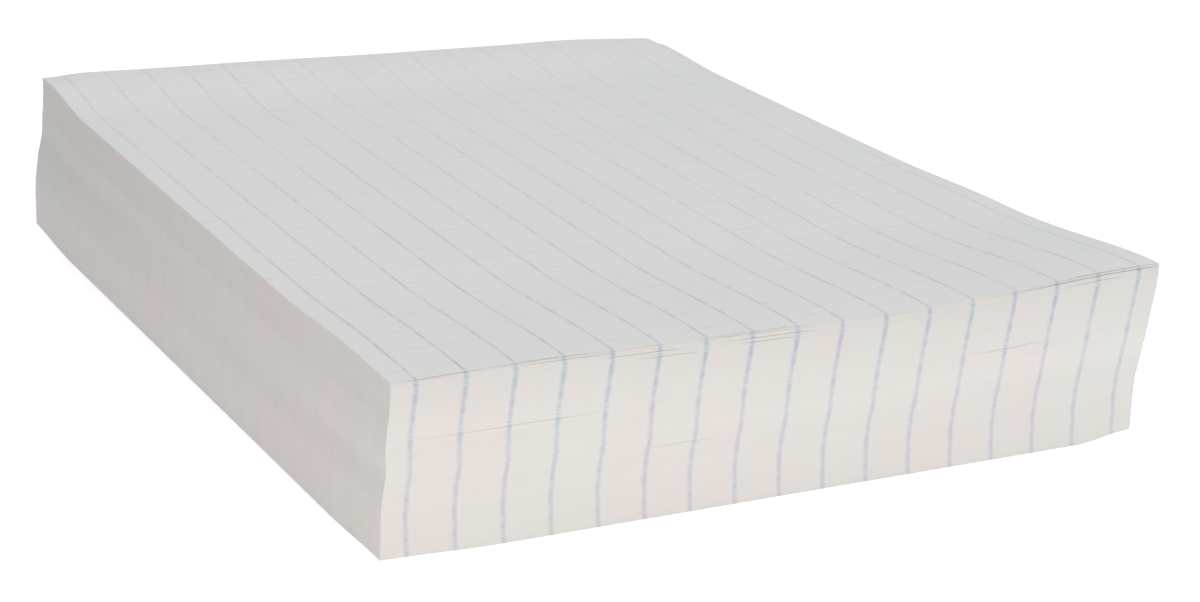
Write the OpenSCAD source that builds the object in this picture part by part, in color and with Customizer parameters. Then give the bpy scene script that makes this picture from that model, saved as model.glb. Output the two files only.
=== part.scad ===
// A loose stack of graph paper: letter sheets with half-inch squares, knocked up by hand and never bound.
// The stack leans towards its front right, parts at three levels, and its edges and corners have curled.
// X runs along the front short edge, Y to the back and Z up. The origin is the middle of the underside.

/* [Sheet] */
// Width of a sheet, along the front edge
sheet_w = 215.9; // [120:0.1:300]
// Length of a sheet, from front to back
sheet_l = 279.4; // [160:0.1:432]
// Thickness of one sheet
sheet_t = 0.087; // [0.07:0.001:0.2]

/* [Lifts] */
// Sheets in the lowest lift, up to the first parting
lower_lift_sheets = 65; // [30:5:200]
// Sheets in the second lift
second_lift_sheets = 135; // [30:5:200]
// Sheets in the third lift
third_lift_sheets = 125; // [30:5:200]
// Sheets in the highest lift, under the loose sheets
upper_lift_sheets = 170; // [30:5:200]
// Air in a parting, where two lifts don't lie close
parting_gap = 0.15; // [0.1:0.05:0.5]

/* [Lean] */
// Shift of the top of the stack to the right of its foot
lean_right = 1.3; // [-4:0.1:4]
// Height at which the shift to the right starts
right_start = 10; // [0:0.5:20]
// Height at which it ends
right_end = 30; // [25:0.5:60]
// Shift of the top of the stack to the front of its foot
lean_front = 4.7; // [-6:0.1:6]
// Height at which the shift to the front starts
front_start = 11; // [0:0.5:20]
// Height at which it ends
front_end = 44.5; // [25:0.5:60]
// Turn of the top of the stack against its foot, in degrees
turn = -0.35; // [-1:0.05:1]
// Height at which the turn starts
turn_start = 20; // [0:0.5:22]
// Height at which it ends
turn_end = 28; // [25:0.5:60]
// Step between two lifts, where the stack was knocked up unevenly
jog = 0.2; // [0:0.05:0.6]

/* [Curl of the top] */
// Rise of the front edge
front_rise = 2.9; // [0:0.1:6]
// Reach of the front edge's rise
front_reach = 72; // [30:1:120]
// Further rise of the front right corner
corner_rise = 2.2; // [0:0.1:6]
// Reach of the corner's rise from the right edge
corner_reach = 84; // [30:1:100]
// Rise of the back edge
back_rise = 3.6; // [0:0.1:6]
// Reach of the back edge's rise
back_reach = 45; // [30:1:120]
// Rise of the left edge
left_rise = 0.6; // [0:0.1:3]
// Reach of the left edge's rise
left_reach = 50; // [30:1:100]
// Rise of the right edge
right_rise = 1.9; // [0:0.1:3]
// Reach of the right edge's rise
right_reach = 66; // [30:1:100]
// Fall of the top from its left edge to its right one
across_fall = 3.3; // [0:0.1:6]
// Rise of the front right and back left corners, and fall of the other two
twist_rise = 0.6; // [0:0.1:3]

/* [Droop of the top] */
// Droop of the front left corner
front_left_droop = 1.6; // [0:0.1:3]
// Droop of the back left corner
back_left_droop = 0.3; // [0:0.1:3]
// Droop of the back right corner
back_right_droop = 2; // [0:0.1:3]
// Reach of the corners' droop from the edges
droop_reach = 46; // [20:1:80]
// Droop of the right edge at its back end
lip_droop = 3.5; // [0:0.1:5]
// Reach of that edge's droop across the sheet
lip_reach = 20; // [15:1:40]
// Reach of that edge's droop from the back to the front
lip_l = 250; // [60:5:400]

/* [Curl of the underside] */
// Rise of the front left corner
foot_front_left = 1.1; // [0:0.1:4]
// Rise of the front right corner
foot_front_right = 1.9; // [0:0.1:4]
// Rise of the back left corner
foot_back_left = 1.8; // [0:0.1:4]
// Rise of the back right corner
foot_back_right = 1.5; // [0:0.1:4]
// Reach of the corners' rise from the edges
foot_reach = 32; // [15:1:60]

/* [Loose sheets] */
// Widest gap between two loose sheets, at the front edge
edge_opening = 0.25; // [0:0.05:0.6]
// Reach of the gaps from the front edge
opening_reach = 45; // [20:1:90]
// Air between the loose sheets where they lie close
sheet_gap = 0.02; // [0.01:0.01:0.1]

/* [Ruling] */
// Distance between two rules, the side of a square
rule_spacing = 12.7; // [5:0.1:30]
// Width of a printed rule
rule_w = 0.5; // [0.2:0.05:1]
// Width of the mark that the ends of many rules leave on a side of the stack
mark_w = 1.3; // [0.4:0.1:2.5]
// Thickness of the print
print_t = 0.05; // [0.02:0.01:0.1]
// Air under the print
print_gap = 0.03; // [0.02:0.01:0.1]

/* [Hidden] */

paper_colour = "#f1ede8";
face_colour = "#f2f3f1";
rule_colour = "#9fb2d3";
mark_colour = "#a9b6d6";

lift_sheets = [lower_lift_sheets, second_lift_sheets, third_lift_sheets, upper_lift_sheets];
top_lift = len(lift_sheets) - 1;
loose_sheets = 5;

// Height of a straight stretch in a lift's leaning side, at most
band_h = 7.5;

// Heights of the lifts at the flat middle of the stack
function sheets_below(lift) = lift == 0 ? 0 : sheets_below(lift - 1) + lift_sheets[lift - 1];
function lift_foot(lift) = sheets_below(lift) * sheet_t + lift * parting_gap;
function lift_head(lift) = lift_foot(lift) + lift_sheets[lift] * sheet_t;
block_h = lift_head(top_lift);

// Points at which a sheet's surface is taken, closer together near the edges
cols = 8;
rows = 9;
function spread(count, index) = sin(90 * (2 * index / count - 1)) / 2;
xs = [for (i = [0:cols]) sheet_w * spread(cols, i)];
ys = [for (j = [0:rows]) sheet_l * spread(rows, j)];
function grid_index(i, j) = i + j * (cols + 1);
rim = concat(
    [for (i = [0:cols - 1]) grid_index(i, 0)],
    [for (j = [0:rows - 1]) grid_index(cols, j)],
    [for (i = [cols:-1:1]) grid_index(i, rows)],
    [for (j = [rows:-1:1]) grid_index(0, j)]);

function mix(a, b, share) = a + (b - a) * share;

// A rise that is 1 at an edge and falls smoothly to 0 at its reach
function curl(distance, reach) = distance < reach ? (1 + cos(180 * distance / reach)) / 2 : 0;

// A rise that is 1 at a corner and falls smoothly to 0 at its reaches from the two edges there
function corner_curl(across, reach_across, along, reach_along) =
    curl(across, reach_across) * curl(along, reach_along);

// How far the top of the highest lift stands above its flat middle
function top_form(x, y) =
    let (left = sheet_w / 2 + x, right = sheet_w / 2 - x, front = sheet_l / 2 + y, back = sheet_l / 2 - y)
    front_rise * curl(front, front_reach) + corner_rise * corner_curl(right, corner_reach, front, front_reach)
    + back_rise * curl(back, back_reach)
    + left_rise * curl(left, left_reach) + right_rise * curl(right, right_reach)
    - across_fall * x / sheet_w - 4 * twist_rise * x * y / (sheet_w * sheet_l)
    - front_left_droop * corner_curl(left, droop_reach, front, droop_reach)
    - back_left_droop * corner_curl(left, droop_reach, back, droop_reach)
    - back_right_droop * corner_curl(right, droop_reach, back, droop_reach)
    - lip_droop * corner_curl(right, lip_reach, back, lip_l);

// How far the underside of the lowest lift stands above the table
function foot_form(x, y) =
    let (left = sheet_w / 2 + x, right = sheet_w / 2 - x, front = sheet_l / 2 + y, back = sheet_l / 2 - y)
    foot_front_left * corner_curl(left, foot_reach, front, foot_reach)
    + foot_front_right * corner_curl(right, foot_reach, front, foot_reach)
    + foot_back_left * corner_curl(left, foot_reach, back, foot_reach)
    + foot_back_right * corner_curl(right, foot_reach, back, foot_reach);

// Height of the sheet that lies at this level in the flat middle of the stack
function sheet_z(x, y, level) = level + mix(foot_form(x, y), top_form(x, y), level / block_h);

// Share of a shift that is reached at this level, from its start to its end
function lean_share(level, start, end) =
    let (s = min(1, max(0, (level - start) / (end - start))))
    s * s * (3 - 2 * s);

// A point of the sheet at this level, moved by the turn, the shifts and the step between two lifts
function leaned(p, level, lift) =
    let (right = lean_right * lean_share(level, right_start, right_end) + jog * (lift % 2))
    let (front = lean_front * lean_share(level, front_start, front_end) + jog * (lift % 2))
    let (angle = turn * lean_share(level, turn_start, turn_end))
    [cos(angle) * p[0] - sin(angle) * p[1] + right, sin(angle) * p[0] + cos(angle) * p[1] - front, p[2]];

// Stretches of the front edge where each loose sheet lifts off the one below: middle and half length,
// as shares of the sheet's width
lifted = [
    [[-0.27, 0.12], [0.41, 0.16]],
    [[0.02, 0.07]],
    [[-0.16, 0.09], [0.13, 0.06]],
    [[-0.36, 0.15], [-0.08, 0.1]],
    [[-0.02, 0.06], [0.46, 0.14]]];

// Height of the underside of a loose sheet, counted from 0: each rides on the openings below it
function gap_share(x, sheet) =
    max([for (stretch = lifted[sheet]) curl(abs(x / sheet_w - stretch[0]), stretch[1])]);
function opening(x, sheet) = sheet < 0 ? 0 : opening(x, sheet - 1) + edge_opening * gap_share(x, sheet);
function loose_z(x, y, sheet) =
    sheet_z(x, y, block_h) + parting_gap + sheet * (sheet_t + sheet_gap)
    + opening(x, sheet) * curl(sheet_l / 2 + y, opening_reach);
function top_z(x, y) = loose_z(x, y, loose_sheets - 1) + sheet_t;

function lift_layer(level, lift) =
    [for (y = ys) for (x = xs) leaned([x, y, sheet_z(x, y, level)], level, lift)];
function loose_layer(sheet, rise) =
    [for (y = ys) for (x = xs) leaned([x, y, loose_z(x, y, sheet) + rise], block_h, top_lift)];

// Each square of the grid folds along the diagonal that leaves it hollow, so straight rules lie over it
hollow = [for (j = [0:rows - 1]) [for (i = [0:cols - 1])
    top_z(xs[i], ys[j]) + top_z(xs[i + 1], ys[j + 1]) < top_z(xs[i + 1], ys[j]) + top_z(xs[i], ys[j + 1])]];

function cell_faces(i, j, base, up) =
    let (a = base + grid_index(i, j), b = a + 1, c = b + cols + 1, d = c - 1)
    let (folds = hollow[j][i] ? [[a, c, b], [a, d, c]] : [[a, d, b], [b, d, c]])
    up ? folds : [for (f = folds) [f[2], f[1], f[0]]];

// Whether a square of a side is hollow when it folds from its first corner: the corners run up and around
function folds_in(p) = (p[0] + p[2] - p[1] - p[3]) * cross(p[3] - p[0], p[1] - p[0]) < 0;

// A sheet or a lift, from the layers of points at its underside, at any levels between, and on top
module sheaf(layers) {
    last = len(layers) - 1;
    around = len(rim);
    function place(layer, k) = layers[layer][rim[k % around]];
    top_base = len(layers[0]) + (last - 1) * around;
    function ring(layer, k) =
        layer == 0 ? rim[k % around]
        : layer == last ? top_base + rim[k % around]
        : len(layers[0]) + (layer - 1) * around + k % around;
    polyhedron(
        concat(layers[0], [for (l = [1:1:last - 1]) for (k = rim) layers[l][k]], layers[last]),
        concat(
            [for (j = [0:rows - 1]) for (i = [0:cols - 1]) each cell_faces(i, j, 0, false)],
            [for (l = [0:last - 1]) for (k = [0:around - 1])
                let (a = ring(l, k), b = ring(l + 1, k), c = ring(l + 1, k + 1), d = ring(l, k + 1))
                let (inward = folds_in([place(l, k), place(l + 1, k), place(l + 1, k + 1), place(l, k + 1)]))
                each inward ? [[a, b, c], [a, c, d]] : [[a, b, d], [b, c, d]]],
            [for (j = [0:rows - 1]) for (i = [0:cols - 1]) each cell_faces(i, j, top_base, true)]),
        convexity = 4);
}

function band_levels(lift) =
    let (bands = ceil((lift_head(lift) - lift_foot(lift)) / band_h))
    [for (b = [0:bands]) mix(lift_foot(lift), lift_head(lift), b / bands)];

module lift(index) {
    color(paper_colour) sheaf([for (level = band_levels(index)) lift_layer(level, index)]);
}

module loose_sheet(index) {
    color(face_colour) sheaf([loose_layer(index, 0), loose_layer(index, sheet_t)]);
}

// A flat strip of print, from its sections of four points each
module strip(sections) {
    last = len(sections) - 1;
    polyhedron(
        [for (section = sections) each section],
        concat(
            [[0, 3, 2, 1], [for (e = [0:3]) 4 * last + e]],
            [for (s = [0:last - 1]) for (e = [0:3])
                let (a = 4 * s + e, b = 4 * s + (e + 1) % 4)
                each [[a, b, b + 4], [a, b + 4, a + 4]]]),
        convexity = 2);
}

// Places of the rules across a side: whole squares about the middle, and half a square at the edges
function rule_places(side) =
    let (count = floor(side / rule_spacing))
    [for (n = [0:count - 1]) (n - (count - 1) / 2) * rule_spacing];

// Height between the grid's points, straight from one to the next
function cell_of(value, places) = max([for (n = [0:len(places) - 2]) if (n == 0 || places[n] <= value) n]);
function share_of(value, places, cell) = (value - places[cell]) / (places[cell + 1] - places[cell]);
function along_row(x, j) =
    let (i = cell_of(x, xs))
    mix(top_z(xs[i], ys[j]), top_z(xs[i + 1], ys[j]), share_of(x, xs, i));
function along_col(y, i) =
    let (j = cell_of(y, ys))
    mix(top_z(xs[i], ys[j]), top_z(xs[i], ys[j + 1]), share_of(y, ys, j));
function lift_z(x, y, level) =
    let (i = cell_of(x, xs), j = cell_of(y, ys))
    let (u = share_of(x, xs, i), v = share_of(y, ys, j))
    mix(mix(sheet_z(xs[i], ys[j], level), sheet_z(xs[i + 1], ys[j], level), u),
        mix(sheet_z(xs[i], ys[j + 1], level), sheet_z(xs[i + 1], ys[j + 1], level), u), v);

// A section of a printed rule: its two edges at the paper, and the same two raised by the print
function rule_section(edge_a, edge_b, lift) =
    let (low = [0, 0, lift], high = [0, 0, lift + print_t])
    [for (p = [edge_a + low, edge_b + low, edge_b + high, edge_a + high]) leaned(p, block_h, top_lift)];

module long_rules() {
    color(rule_colour) for (x = rule_places(sheet_w))
        strip([for (j = [0:rows])
            let (a = x - rule_w / 2, b = x + rule_w / 2)
            rule_section([a, ys[j], along_row(a, j)], [b, ys[j], along_row(b, j)], print_gap)]);
}

// The cross rules are printed over the long ones
module cross_rules() {
    color(rule_colour) for (y = rule_places(sheet_l))
        strip([for (i = [0:cols])
            let (a = y + rule_w / 2, b = y - rule_w / 2)
            rule_section([xs[i], a, along_col(a, i)], [xs[i], b, along_col(b, i)], 2 * print_gap + print_t)]);
}

// Marks of the rules' ends on the side that faces out: the side lies this far from the stack's middle line
module side_marks_of(out, reach, places) {
    along = [-out[1], out[0], 0];
    function mark_section(place, level, lift) =
        let (corners = [for (edge = [-mark_w / 2, mark_w / 2]) out * reach + along * (place + edge)])
        let (low = [for (c = corners) [c[0], c[1], lift_z(c[0], c[1], level)]])
        let (inner = out * print_gap, outer = out * (print_gap + print_t))
        [for (p = [low[0] + inner, low[1] + inner, low[1] + outer, low[0] + outer]) leaned(p, level, lift)];
    color(mark_colour) for (lift = [0:top_lift]) for (place = places)
        strip([for (level = band_levels(lift)) mark_section(place, level, lift)]);
}

module end_marks() {
    for (face = [-1, 1]) side_marks_of([0, face, 0], sheet_l / 2, rule_places(sheet_w));
}

module side_marks() {
    for (face = [-1, 1]) side_marks_of([face, 0, 0], sheet_w / 2, rule_places(sheet_l));
}

lift(0);  // lower_lift
lift(1);  // second_lift
lift(2);  // third_lift
lift(3);  // upper_lift
loose_sheet(0);  // loose_sheet_1
loose_sheet(1);  // loose_sheet_2
loose_sheet(2);  // loose_sheet_3
loose_sheet(3);  // loose_sheet_4
loose_sheet(4);  // top_sheet
long_rules();
cross_rules();
end_marks();
side_marks();
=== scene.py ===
import math
import random

import bmesh
import bpy
from mathutils import Matrix, Vector


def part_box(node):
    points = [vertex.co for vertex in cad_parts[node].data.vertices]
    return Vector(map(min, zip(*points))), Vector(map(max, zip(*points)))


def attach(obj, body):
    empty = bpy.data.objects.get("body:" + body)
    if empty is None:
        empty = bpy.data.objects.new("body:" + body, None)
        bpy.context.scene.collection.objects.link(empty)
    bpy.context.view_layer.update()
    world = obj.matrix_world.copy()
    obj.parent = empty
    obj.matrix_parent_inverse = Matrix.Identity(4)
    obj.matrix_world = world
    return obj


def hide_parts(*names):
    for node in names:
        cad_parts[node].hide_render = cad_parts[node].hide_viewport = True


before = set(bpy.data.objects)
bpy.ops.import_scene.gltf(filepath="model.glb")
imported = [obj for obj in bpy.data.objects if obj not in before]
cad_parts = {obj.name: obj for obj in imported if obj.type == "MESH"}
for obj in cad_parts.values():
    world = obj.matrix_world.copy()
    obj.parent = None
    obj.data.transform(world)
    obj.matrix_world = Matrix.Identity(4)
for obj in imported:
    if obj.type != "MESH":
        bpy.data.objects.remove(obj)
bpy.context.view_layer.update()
mm = 0.001


# Letter paper in half-inch squares, and how the stack of it lies: the part's own figures, in metres. Only
# the right edge, the back edge and the corners are drawn a millimetre or so closer to the photo than in
# the part. A span is the two heights at which a shift or a turn starts and ends.
lowCorner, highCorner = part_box("lower_lift")
sheetWidth = highCorner[0] - lowCorner[0]
sheetLength = highCorner[1] - lowCorner[1]
stack = {
    "sheetThickness": 0.087 * mm,
    "liftSheets": {"lower_lift": 65, "second_lift": 135, "third_lift": 125, "upper_lift": 170},
    "partingGap": 0.15 * mm,
    "leanRight": 1.3 * mm,
    "rightSpan": (10 * mm, 30 * mm),
    "leanFront": 4.7 * mm,
    "frontSpan": (11 * mm, 44.5 * mm),
    "turn": math.radians(-0.35),
    "turnSpan": (20 * mm, 28 * mm),
}
topCurl = {
    "frontRise": 2.9 * mm,
    "frontReach": 72 * mm,
    "cornerRise": 2.8 * mm,
    "cornerReach": 89 * mm,
    "backRise": 3.5 * mm,
    "backReach": 45 * mm,
    "leftRise": 0.65 * mm,
    "leftReach": 50 * mm,
    "rightRise": 1.3 * mm,
    "rightReach": 64 * mm,
    "rightPuff": 1.3 * mm,
    "puffReach": 30 * mm,
    "puffMiddle": -66 * mm,
    "puffHalf": 57 * mm,
    "acrossFall": 3.1 * mm,
    "twistRise": 0.6 * mm,
    "frontLeftDroop": 1.6 * mm,
    "frontLeftReach": 46 * mm,
    "backLeftDroop": 0.9 * mm,
    "backLeftReach": 14 * mm,
    "backPuff": 0.45 * mm,
    "backPuffReach": 40 * mm,
    "backPuffMiddle": -50 * mm,
    "backPuffHalf": 60 * mm,
    "backRightDroop": 2.4 * mm,
    "backRightReach": 48 * mm,
    "lipDroop": 2.8 * mm,
    "lipReach": 8 * mm,
    "lipLength": 260 * mm,
}
footCurl = {
    "frontLeft": 0.9 * mm,
    "frontRight": 2.1 * mm,
    "frontRightReach": 17 * mm,
    "backLeft": 1.8 * mm,
    "backRight": 1.5 * mm,
    "reach": 32 * mm,
}

liftNames = list(stack["liftSheets"])
liftFeet, liftHeads = [], []
for name in liftNames:
    liftFeet.append(liftHeads[-1] + stack["partingGap"] if liftHeads else 0)
    liftHeads.append(liftFeet[-1] + stack["liftSheets"][name] * stack["sheetThickness"])
blockHeight = liftHeads[-1]


def curl(distance, reach):
    # 1 at an edge, falling smoothly to 0 at its reach
    return (1 + math.cos(math.pi * distance / reach)) / 2 if distance < reach else 0


def cornerCurl(across, reachAcross, along, reachAlong):
    return curl(across, reachAcross) * curl(along, reachAlong)


def edgeDistances(x, y):
    return sheetWidth / 2 + x, sheetWidth / 2 - x, sheetLength / 2 + y, sheetLength / 2 - y


def topForm(x, y):
    left, right, front, back = edgeDistances(x, y)
    form = topCurl
    atFrontLeft = cornerCurl(left, form["frontLeftReach"], front, form["frontLeftReach"])
    atBackLeft = cornerCurl(left, form["backLeftReach"], back, form["backLeftReach"])
    atBackRight = cornerCurl(right, form["backRightReach"], back, form["backRightReach"])
    atPuff = cornerCurl(right, form["puffReach"], abs(y - form["puffMiddle"]), form["puffHalf"])
    fromBackPuff = abs(x - form["backPuffMiddle"])
    atBackPuff = cornerCurl(fromBackPuff, form["backPuffHalf"], back, form["backPuffReach"])
    return (form["frontRise"] * curl(front, form["frontReach"])
            + form["cornerRise"] * cornerCurl(right, form["cornerReach"], front, form["frontReach"])
            + form["backRise"] * curl(back, form["backReach"])
            + form["leftRise"] * curl(left, form["leftReach"])
            + form["rightRise"] * curl(right, form["rightReach"])
            + form["rightPuff"] * atPuff
            + form["backPuff"] * atBackPuff
            - form["acrossFall"] * x / sheetWidth
            - 4 * form["twistRise"] * x * y / (sheetWidth * sheetLength)
            - form["frontLeftDroop"] * atFrontLeft
            - form["backLeftDroop"] * atBackLeft
            - form["backRightDroop"] * atBackRight
            - form["lipDroop"] * cornerCurl(right, form["lipReach"], back, form["lipLength"]))


def footForm(x, y):
    left, right, front, back = edgeDistances(x, y)
    reach, rightReach = footCurl["reach"], footCurl["frontRightReach"]
    return (footCurl["frontLeft"] * cornerCurl(left, reach, front, reach)
            + footCurl["frontRight"] * cornerCurl(right, rightReach, front, rightReach)
            + footCurl["backLeft"] * cornerCurl(left, reach, back, reach)
            + footCurl["backRight"] * cornerCurl(right, reach, back, reach))


def sheetHeight(x, y, level):
    share = level / blockHeight
    return level + (1 - share) * footForm(x, y) + share * topForm(x, y)


def smoothShare(value, span):
    share = min(1, max(0, (value - span[0]) / (span[1] - span[0])))
    return share * share * (3 - 2 * share)


def leaned(x, y, z, level):
    right = stack["leanRight"] * smoothShare(level, stack["rightSpan"])
    front = stack["leanFront"] * smoothShare(level, stack["frontSpan"])
    angle = stack["turn"] * smoothShare(level, stack["turnSpan"])
    return Vector((math.cos(angle) * x - math.sin(angle) * y + right,
                   math.sin(angle) * x + math.cos(angle) * y - front, z))


# How unevenly the sheets lie and were printed, each a standard deviation: a sheet's own part, and a part
# that wanders up the stack and hardly changes over so many neighbours
unevenness = {
    "edge": {"own": 0.003 * mm, "shared": 0.025 * mm, "neighbours": 60, "seed": 11},
    "print": {"own": 0.06 * mm, "shared": 0.08 * mm, "neighbours": 20, "seed": 23},
    "toneAndShade": {"own": 0.002, "shared": 0.003, "neighbours": 12, "seed": 35},
    "ink": {"own": 0.04, "shared": 0.06, "neighbours": 10, "seed": 47},
    "bead": {"own": 0.07, "shared": 0.1, "neighbours": 3, "seed": 59},
}
# In millimetres: how far to the right of the smooth lean the sheets lie, and how far off their print is
knocking = {
    "heights": [0, 5, 8.5, 12, 18, 26, 32, 38, 41.5, 43.5],
    "sheets": [-0.05, -0.05, -0.05, 0.05, 0.15, 0.05, 0, 0.15, 0.1, 0],
    "prints": [0.35, 0.25, -0.25, 0.05, 0, -0.15, -0.3, -0.2, 0, 0],
}
totalSheets = sum(stack["liftSheets"].values()) + 5


def wandering(kind, turn=0):
    # one figure a sheet
    setting = unevenness[kind]
    source = random.Random(setting["seed"] + turn)
    keep = 1 - 1 / setting["neighbours"]
    shared, values = source.gauss(0, 1), []
    for _ in range(totalSheets):
        shared = shared * keep + source.gauss(0, 1) * math.sqrt(1 - keep * keep)
        values.append(source.gauss(0, setting["own"]) + setting["shared"] * shared)
    return values


def knocked(kind, number):
    height = number * stack["sheetThickness"] / mm
    heights, shifts = knocking["heights"], knocking[kind]
    for place in range(len(heights) - 1):
        if height <= heights[place + 1]:
            share = smoothShare(height, heights[place:place + 2])
            return (shifts[place] * (1 - share) + shifts[place + 1] * share) * mm
    return shifts[-1] * mm


edgeShift = [Vector((knocked("sheets", number) + a, b, 0))
             for number, (a, b) in enumerate(zip(wandering("edge"), wandering("edge", 1)))]
printShift = [Vector((knocked("prints", number) + a, b, 0))
              for number, (a, b) in enumerate(zip(wandering("print"), wandering("print", 1)))]
beaded = 0.64 * totalSheets  # the marks break up into beads in the sheets above this one
inkFigures = [0.34 + 0.14 * number / totalSheets + ink + (bead if number > beaded else 0)
              for number, (ink, bead) in enumerate(zip(wandering("ink"), wandering("bead")))]
faceFigures = {
    # The tone figure is the paper's own tone, which differs at random from sheet to sheet, plus painted
    # shade: it falls by a tenth from the lowest sheet to the top one, so the lower sheets are painted
    # lighter and the upper ones darker, in place of light that falls more strongly low on the sides
    "toneAndShade": [1.05 - 0.1 * number / totalSheets + value for number, value in enumerate(wandering("toneAndShade"))],
    "ink": [min(1, max(0, value)) for value in inkFigures],
}


# Materials
ruling = {
    "spacing": 12.7 * mm,
    "longOffset": 0,  # a long rule runs down the middle of the sheet
    "crossOffset": 6.35 * mm,  # and the middle lies halfway between two cross rules
}


def linearColour(hexText):
    channels = [int(hexText[place:place + 2], 16) / 255 for place in (1, 3, 5)]
    return [c / 12.92 if c <= 0.04045 else ((c + 0.055) / 1.055) ** 2.4 for c in channels] + [1]


def addNode(tree, kind, inputs, **settings):
    # an input takes a number, a hex colour or the output of another node
    node = tree.nodes.new(kind)
    for name, value in settings.items():
        setattr(node, name, value)
    for name, value in inputs.items():
        if isinstance(value, bpy.types.NodeSocket):
            tree.links.new(value, node.inputs[name])
        else:
            node.inputs[name].default_value = linearColour(value) if isinstance(value, str) else value
    return node


def newMaterial(name):
    material = bpy.data.materials.new(name)
    material.use_nodes = True
    tree = material.node_tree
    return material, tree, tree.nodes["Principled BSDF"]


def smoothBetween(low, high, toLow, toHigh):
    # inputs of a map range node
    return {"From Min": low, "From Max": high, "To Min": toLow, "To Max": toHigh}


def cloudy(tree, place, size, low, high):
    # soft patches of about this size, from one figure to another
    patches = addNode(tree, "ShaderNodeTexNoise", {"Vector": place, "Scale": 1 / size, "Detail": 2.0})
    return addNode(tree, "ShaderNodeMapRange",
                   {"Value": patches.outputs["Fac"], **smoothBetween(0.35, 0.65, low, high)},
                   interpolation_type="SMOOTHSTEP").outputs["Result"]


def ruleMask(tree, along, offset, width, softness):
    # 1 on the rules that cross this direction and 0 between them; softness is the width of their soft sides
    spacing = ruling["spacing"]
    ahead = offset + 20.5 * spacing  # keeps every place above 0, with the rules half a square along
    moved = addNode(tree, "ShaderNodeMath", {0: along, 1: ahead}, operation="ADD")
    wrapped = addNode(tree, "ShaderNodeMath", {0: moved.outputs[0], 1: spacing}, operation="MODULO")
    fromRule = addNode(tree, "ShaderNodeMath", {0: wrapped.outputs[0], 1: spacing / 2}, operation="SUBTRACT")
    distance = addNode(tree, "ShaderNodeMath", {0: fromRule.outputs[0]}, operation="ABSOLUTE")
    sides = smoothBetween((width - softness) / 2, (width + softness) / 2, 1, 0)
    return addNode(tree, "ShaderNodeMapRange", {"Value": distance.outputs[0], **sides},
                   interpolation_type="SMOOTHSTEP").outputs["Result"]


def paperBase(name, tooth):
    # Uncoated wood-free writing paper: matt, with the fine tooth of its fibres, drawn wide enough to show
    fibreWidth, fibreHeight = 0.45 * mm, 0.04 * mm
    material, tree, shader = newMaterial(name)
    shader.inputs["Roughness"].default_value = 0.85
    shader.inputs["Specular IOR Level"].default_value = 0.25
    sheetPlace = addNode(tree, "ShaderNodeUVMap", {}, uv_map="paper").outputs["UV"]
    place = addNode(tree, "ShaderNodeTexCoord", {}).outputs["Object"]
    fibres = addNode(tree, "ShaderNodeTexNoise", {"Vector": place, "Scale": 1 / fibreWidth, "Detail": 3.0})
    bump = addNode(tree, "ShaderNodeBump",
                   {"Height": fibres.outputs["Fac"], "Strength": tooth, "Distance": fibreHeight})
    tree.links.new(bump.outputs["Normal"], shader.inputs["Normal"])
    return material, tree, shader, sheetPlace, place


def cutPaperEdges():
    # Guillotined edges of hundreds of sheets: warmer than their faces, in soft pinkish and greenish patches,
    # with a pale violet-blue mark wherever the ends of the printed rules lie over each other
    material, tree, shader, sheetPlace, place = paperBase("cutPaperEdges", 0.1)
    axes = addNode(tree, "ShaderNodeSeparateXYZ", {0: sheetPlace}).outputs
    toneAndShade = addNode(tree, "ShaderNodeAttribute", {}, attribute_name="toneAndShade").outputs["Fac"]
    ink = addNode(tree, "ShaderNodeAttribute", {}, attribute_name="ink").outputs["Fac"]
    tallPatches = (1, 1, 0.4)
    upright = addNode(tree, "ShaderNodeVectorMath", {0: place, 1: tallPatches},
                      operation="MULTIPLY").outputs[0]
    tint = cloudy(tree, upright, 18 * mm, 0, 1)
    patches = addNode(tree, "ShaderNodeMix", {0: tint, 6: "#e9e2e0", 7: "#e6e4e0"}, data_type="RGBA")
    # painted shade: each sheet's edge colour is multiplied by its tone figure, its own random tone together
    # with the painted darkening towards the top of the stack
    paper = addNode(tree, "ShaderNodeMix", {0: 1.0, 6: patches.outputs[2], 7: toneAndShade}, data_type="RGBA",
                    blend_type="MULTIPLY")
    inkTint = cloudy(tree, place, 7 * mm, 0, 1)
    inkColour = addNode(tree, "ShaderNodeMix", {0: inkTint, 6: "#a5a9d0", 7: "#a7bac9"}, data_type="RGBA")
    crossMask = ruleMask(tree, axes["Y"], ruling["crossOffset"], 1.3 * mm, 1.2 * mm)
    crossShare = addNode(tree, "ShaderNodeMath", {0: crossMask, 1: 0.07}, operation="MULTIPLY").outputs[0]
    longMask = ruleMask(tree, axes["X"], ruling["longOffset"], 1.1 * mm, 1.1 * mm)
    longShare = addNode(tree, "ShaderNodeMath", {0: longMask, 1: ink}, operation="MULTIPLY").outputs[0]
    crossed = addNode(tree, "ShaderNodeMix", {0: crossShare, 6: paper.outputs[2], 7: "#b9c0d8"},
                      data_type="RGBA")
    ruled = addNode(tree, "ShaderNodeMix", {0: longShare, 6: crossed.outputs[2], 7: inkColour.outputs[2]},
                    data_type="RGBA")
    tree.links.new(ruled.outputs[2], shader.inputs["Base Color"])
    return material


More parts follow.
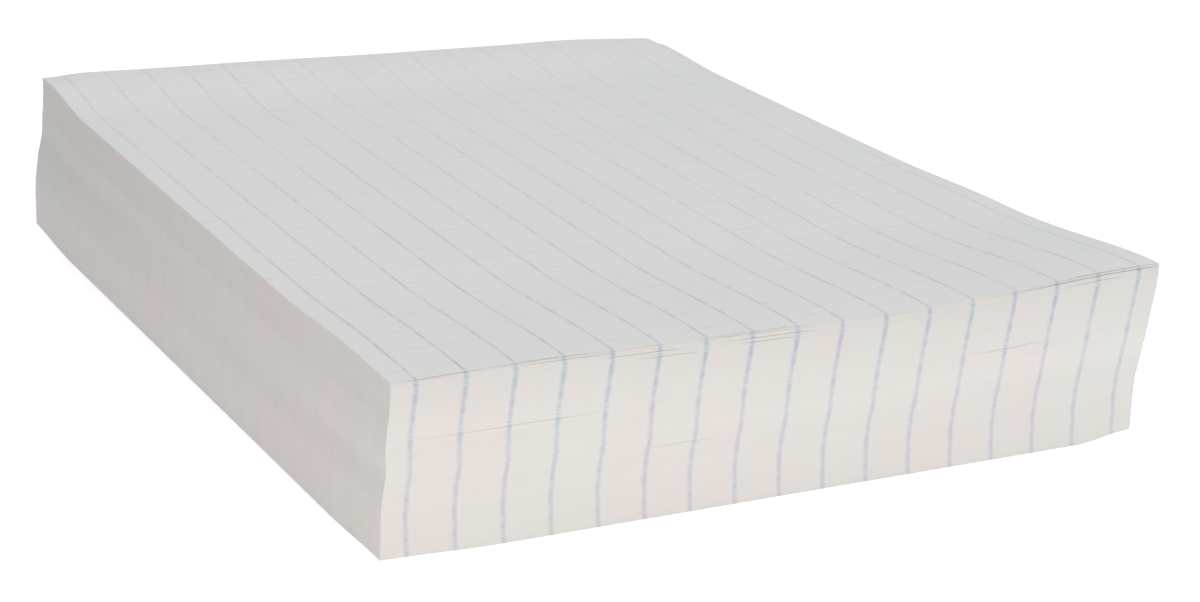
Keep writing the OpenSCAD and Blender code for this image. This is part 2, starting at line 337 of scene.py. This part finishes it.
def ruledPaperFace():
    # The printed face: cool white, with clear but uneven long rules that fade to the right and the back, and
    # cross rules so faint that only short stretches of them show
    material, tree, shader, sheetPlace, place = paperBase("ruledPaperFace", 0.2)
    axes = addNode(tree, "ShaderNodeSeparateXYZ", {0: sheetPlace}).outputs
    paper = addNode(tree, "ShaderNodeMix",
                    {0: 1.0, 6: "#ecedeb", 7: cloudy(tree, place, 45 * mm, 0.99, 1.0)},
                    data_type="RGBA", blend_type="MULTIPLY")
    crossMask = ruleMask(tree, axes["Y"], ruling["crossOffset"], 0.5 * mm, 0.4 * mm)
    crossPatches = cloudy(tree, sheetPlace, 9 * mm, -0.1, 0.14)
    crossShare = addNode(tree, "ShaderNodeMath", {0: crossMask, 1: crossPatches},
                         operation="MULTIPLY").outputs[0]
    crossed = addNode(tree, "ShaderNodeMix", {0: crossShare, 6: paper.outputs[2], 7: "#8d97b0"},
                      data_type="RGBA")
    longMask = ruleMask(tree, axes["X"], ruling["longOffset"], 0.7 * mm, 0.6 * mm)
    across = addNode(tree, "ShaderNodeMapRange",
                     {"Value": axes["X"], **smoothBetween(-sheetWidth / 2, sheetWidth / 2, 0.29, 0.19)})
    lengthwise = addNode(tree, "ShaderNodeMapRange",
                         {"Value": axes["Y"], **smoothBetween(-130 * mm, 60 * mm, 1.0, 0.42)})
    inking = addNode(tree, "ShaderNodeMath", {0: across.outputs[0], 1: lengthwise.outputs[0]},
                     operation="MULTIPLY").outputs[0]
    longPatches = cloudy(tree, sheetPlace, 6 * mm, 0.5, 1.4)
    patchy = addNode(tree, "ShaderNodeMath", {0: inking, 1: longPatches}, operation="MULTIPLY").outputs[0]
    longShare = addNode(tree, "ShaderNodeMath", {0: longMask, 1: patchy}, operation="MULTIPLY").outputs[0]
    ruled = addNode(tree, "ShaderNodeMix", {0: longShare, 6: crossed.outputs[2], 7: "#77869b"},
                    data_type="RGBA")
    tree.links.new(ruled.outputs[2], shader.inputs["Base Color"])
    return material


edgeMaterial = cutPaperEdges()
faceMaterial = ruledPaperFace()
print("materials made")


def finishSheets(bm, name, materials, nodes, sheetOf, printPlaceOf, placeOf):
    # Still flat, each face gets its sheet's figures and its place on the ruled sheet, and then it takes the
    # stack's form
    uvLayer = bm.loops.layers.uv.new("paper")
    layers = [(bm.faces.layers.float.new(label), values) for label, values in faceFigures.items()]
    for face in bm.faces:
        number = sheetOf(face)
        for layer, values in layers:
            face[layer] = values[number]
        if len(materials) > 1 and abs(face.normal.z) < 0.5:
            face.material_index = 1
        for loop in face.loops:
            loop[uvLayer].uv = (loop.vert.co - printPlaceOf(number)).xy
    for vert in bm.verts:
        vert.co = placeOf(vert.co)
    mesh = bpy.data.meshes.new(name)
    bm.to_mesh(mesh)
    bm.free()
    for material in materials:
        mesh.materials.append(material)
    piece = bpy.data.objects.new(name, mesh)
    bpy.context.scene.collection.objects.link(piece)
    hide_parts(*nodes)
    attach(piece, "root")
    return piece


# Buried sheets: every sheet's own edge, as a wall one sheet high and a ledge where the next one steps in
# or out
buried = {
    "columns": 40,
    "rows": 26,
    "closed": 0.148 * mm,  # how far a parting closes, since the sheets sag into it
    "frontBand": 2 * mm,  # points this close to the front can stand back
    "seam": 0.002 * mm,  # the lid's rim is joined to the last wall within this
    # Stretches of the front edge where sheets stand back and leave a dark line: sheets down from the top,
    # sheets that stand back, middle and half length as shares of the sheet's width, and depth. The deeper
    # ones lie just under the loose sheets, and the shallow ones in the partings.
    "setBack": [
        (9, 1, -0.29, 0.06, 0.3 * mm),
        (20, 1, -0.19, 0.05, 0.4 * mm),
        (36, 1, -0.16, 0.04, 0.4 * mm),
        (18, 1, -0.03, 0.055, 0.3 * mm),
        (30, 1, -0.035, 0.04, 0.3 * mm),
        (9, 2, 0.41, 0.13, 0.35 * mm),
        (22, 1, 0.41, 0.04, 0.3 * mm),
        (174, 1, -0.35, 0.14, 0.12 * mm),
        (170, 1, 0.3, 0.05, 0.12 * mm),
        (299, 1, -0.13, 0.05, 0.12 * mm),
    ],
}


def addSheetGrid(bm, columns, rows, place):
    size = Matrix.Diagonal((sheetWidth, sheetLength, 1, 1))
    return bmesh.ops.create_grid(bm, x_segments=columns, y_segments=rows, size=0.5,
                                 matrix=Matrix.Translation(place) @ size)["verts"]


def raiseRim(bm, rim, offset):
    made = bmesh.ops.extrude_edge_only(bm, edges=rim)["geom"]
    verts = [item for item in made if isinstance(item, bmesh.types.BMVert)]
    bmesh.ops.translate(bm, verts=verts, vec=offset)
    return [item for item in made if isinstance(item, bmesh.types.BMEdge) and item.is_boundary], verts


def standsBack(number, x):
    # how far the front edge of this sheet stands behind the others here
    depth = 0
    for down, sheets, middle, half, most in buried["setBack"]:
        if 0 <= number - (totalSheets - down) < sheets:
            depth += most * min(1, 2 * curl(abs(x / sheetWidth - middle), half))
    return depth


def buildLift(index, firstSheet):
    name = liftNames[index]
    count = stack["liftSheets"][name]
    thickness = stack["sheetThickness"]
    foot, head = liftFeet[index], liftHeads[index]
    bm = bmesh.new()
    addSheetGrid(bm, buried["columns"], buried["rows"], edgeShift[firstSheet] + Vector((0, 0, foot)))
    rim = [edge for edge in bm.edges if edge.is_boundary]
    for number in range(firstSheet, firstSheet + count):
        rim, _ = raiseRim(bm, rim, Vector((0, 0, thickness)))
        if number < firstSheet + count - 1:
            rim, verts = raiseRim(bm, rim, edgeShift[number + 1] - edgeShift[number])
            for vert in verts:
                if vert.co.y < -sheetLength / 2 + buried["frontBand"]:
                    vert.co.y += standsBack(number + 1, vert.co.x) - standsBack(number, vert.co.x)
    seam = {vert for edge in rim for vert in edge.verts}
    lid = addSheetGrid(bm, buried["columns"], buried["rows"],
                       edgeShift[firstSheet + count - 1] + Vector((0, 0, head)))
    seam.update(vert for vert in lid if vert.is_boundary)
    bmesh.ops.remove_doubles(bm, verts=list(seam), dist=buried["seam"])
    bmesh.ops.recalc_face_normals(bm, faces=bm.faces)
    stretch = (head + buried["closed"] - foot) / (head - foot)

    def sheetOf(face):
        # a ledge counts to the sheet under it, so a hundredth of a sheet is taken off its height
        height = face.calc_center_median().z - foot
        return firstSheet + min(count - 1, max(0, int(height / thickness - 0.01)))

    def placeOf(point):
        level = foot + (point.z - foot) * stretch
        return leaned(point.x, point.y, sheetHeight(point.x, point.y, level), level)

    return finishSheets(bm, name + "_sheets", [edgeMaterial],
                        [name], sheetOf, lambda number: edgeShift[number] + printShift[number], placeOf)


firstSheet = 0
for index, name in enumerate(liftNames):
    buildLift(index, firstSheet)
    firstSheet += stack["liftSheets"][name]
print("buried sheets made")


# Loose sheets on top: each lifts off the one below over stretches of the front edge, given as middle and
# half length in shares of the sheet's width, and how far it lifts
loose = {
    "lifted": {
        "loose_sheet_1": [(-0.07, 0.11, 0.08 * mm)],
        "loose_sheet_2": [(0.3, 0.06, 0.05 * mm)],
        "loose_sheet_3": [(0.13, 0.06, 0.05 * mm)],
        "loose_sheet_4": [(-0.2, 0.06, 0.06 * mm)],
        "top_sheet": [(-0.43, 0.1, 0.14 * mm), (-0.32, 0.11, 0.15 * mm), (-0.06, 0.11, 0.1 * mm),
                      (0.42, 0.13, 0.16 * mm)],
    },
    "columns": 72,
    "rows": 90,
    "drawnThickness": 0.105 * mm,  # a sheet and most of the gap under it, which would be too dark a line
    "edgeOverhang": 0.04 * mm,  # how far a lifted sheet stands in front of the one under it
    "edgeBand": 1 * mm,  # points this close to the front make up that edge
    "sharpAngle": 0.5,  # in radians: the corners of a cut edge stay sharp
    "openingReach": 45 * mm,
    "sheetGap": 0.02 * mm,
}


def liftedShare(x, number):
    # 1 where this loose sheet lifts most off the one under it, 0 where it lies on it
    stretches = list(loose["lifted"].values())[number]
    return max(curl(abs(x / sheetWidth - middle), half) for middle, half, _ in stretches)


def lifted(x, number):
    # how far the front edge of this loose sheet stands above where it would lie
    opening = 0
    for stretches in list(loose["lifted"].values())[:number + 1]:
        opening += max(most * curl(abs(x / sheetWidth - middle), half) for middle, half, most in stretches)
    return opening


def buildLooseSheet(number, name):
    bm = bmesh.new()
    addSheetGrid(bm, loose["columns"], loose["rows"], Vector())
    bmesh.ops.solidify(bm, geom=list(bm.faces), thickness=loose["drawnThickness"])
    lowest = min(vert.co.z for vert in bm.verts)
    bmesh.ops.translate(bm, verts=bm.verts, vec=(0, 0, -lowest))
    bmesh.ops.recalc_face_normals(bm, faces=bm.faces)
    for edge in bm.edges:
        edge.smooth = edge.calc_face_angle() < loose["sharpAngle"]
    for face in bm.faces:
        face.smooth = True
    foot = stack["partingGap"] + number * (stack["sheetThickness"] + loose["sheetGap"])
    sheet = totalSheets - len(loose["lifted"]) + number
    last = len(loose["lifted"]) - 1

    def placeOf(point):
        x, y = point.x, point.y
        opening = lifted(x, number) * curl(sheetLength / 2 + y, loose["openingReach"])
        if number < last and y < -sheetLength / 2 + loose["edgeBand"]:
            y += loose["edgeOverhang"] * min(1, 2 * liftedShare(x, number + 1))
        return leaned(x, y, sheetHeight(x, y, blockHeight) + foot + opening + point.z, blockHeight)

    nodes = [name]
    if name == "top_sheet":
        nodes += ["long_rules", "cross_rules", "end_marks", "side_marks"]
    return finishSheets(bm, name + "_paper", [faceMaterial, edgeMaterial], nodes,
                        lambda face: sheet, lambda sheet: Vector(), placeOf)


for number, name in enumerate(loose["lifted"]):
    buildLooseSheet(number, name)
print("loose sheets made")


# Floor, light and camera
floorMaterial, tree, shader = newMaterial("whiteSweep")
shader.inputs["Base Color"].default_value = linearColour("#f2f2f2")
shader.inputs["Roughness"].default_value = 0.9
shader.inputs["Emission Color"].default_value = linearColour("#ffffff")
shader.inputs["Emission Strength"].default_value = 0.5
bm = bmesh.new()
bmesh.ops.create_grid(bm, x_segments=1, y_segments=1, size=4)
floorMesh = bpy.data.meshes.new("floor")
bm.to_mesh(floorMesh)
bm.free()
floorMesh.materials.append(floorMaterial)
floor = bpy.data.objects.new("floor", floorMesh)
bpy.context.scene.collection.objects.link(floor)

world = bpy.context.scene.world or bpy.data.worlds.new("world")
bpy.context.scene.world = world
world.use_nodes = True
world.node_tree.nodes["Background"].inputs["Color"].default_value = linearColour("#86cbff")
world.node_tree.nodes["Background"].inputs["Strength"].default_value = 0.067

lights = {
    "softBoxAbove": {"place": (0.1, 0.1, 1.2), "size": 1.4, "power": 13.3, "colour": "#fffcfa"},
    "softBoxFront": {"place": (0.7, -1.1, 0.5), "size": 0.8, "power": 5.0, "colour": "#fbfff8"},
    "lampLeft": {"place": (-0.45, -0.45, 0.2), "size": 0.25, "power": 0.57, "colour": "#fff0e0"},
}
for name, setting in lights.items():
    lamp = bpy.data.lights.new(name, "AREA")
    lamp.shape = "SQUARE"
    lamp.size = setting["size"]
    lamp.energy = setting["power"]
    lamp.color = linearColour(setting["colour"])[:3]
    lampObject = bpy.data.objects.new(name, lamp)
    place = Vector(setting["place"])
    lampObject.matrix_world = Matrix.Translation(place) @ place.to_track_quat("Z", "Y").to_matrix().to_4x4()
    bpy.context.scene.collection.objects.link(lampObject)

shot = {
    "place": (-0.36249, -0.74623, 0.29358),
    "azimuth": -27.12,
    "elevation": 19.02,
    "roll": 1.76,
    "focalPixels": 3030.77,
    "widthPixels": 1200,
    "sensor": 36,
}
azimuth, elevation, roll = (math.radians(shot[name]) for name in ("azimuth", "elevation", "roll"))
back = Vector((math.sin(azimuth) * math.cos(elevation), -math.cos(azimuth) * math.cos(elevation),
               math.sin(elevation)))
right = (-back).cross(Vector((0, 0, 1))).normalized()
up = right.cross(-back)
right, up = (math.cos(roll) * right + math.sin(roll) * up, math.cos(roll) * up - math.sin(roll) * right)
camera = bpy.data.cameras.new("camera")
camera.sensor_width = shot["sensor"]
camera.lens = shot["focalPixels"] * shot["sensor"] / shot["widthPixels"]
camera.clip_start = 0.01
cameraObject = bpy.data.objects.new("camera", camera)
turned = Matrix((right, up, back)).transposed().to_4x4()
cameraObject.matrix_world = Matrix.Translation(shot["place"]) @ turned
bpy.context.scene.collection.objects.link(cameraObject)
bpy.context.scene.camera = cameraObject
bpy.context.scene.view_settings.view_transform = "Standard"
print("camera and lights made")
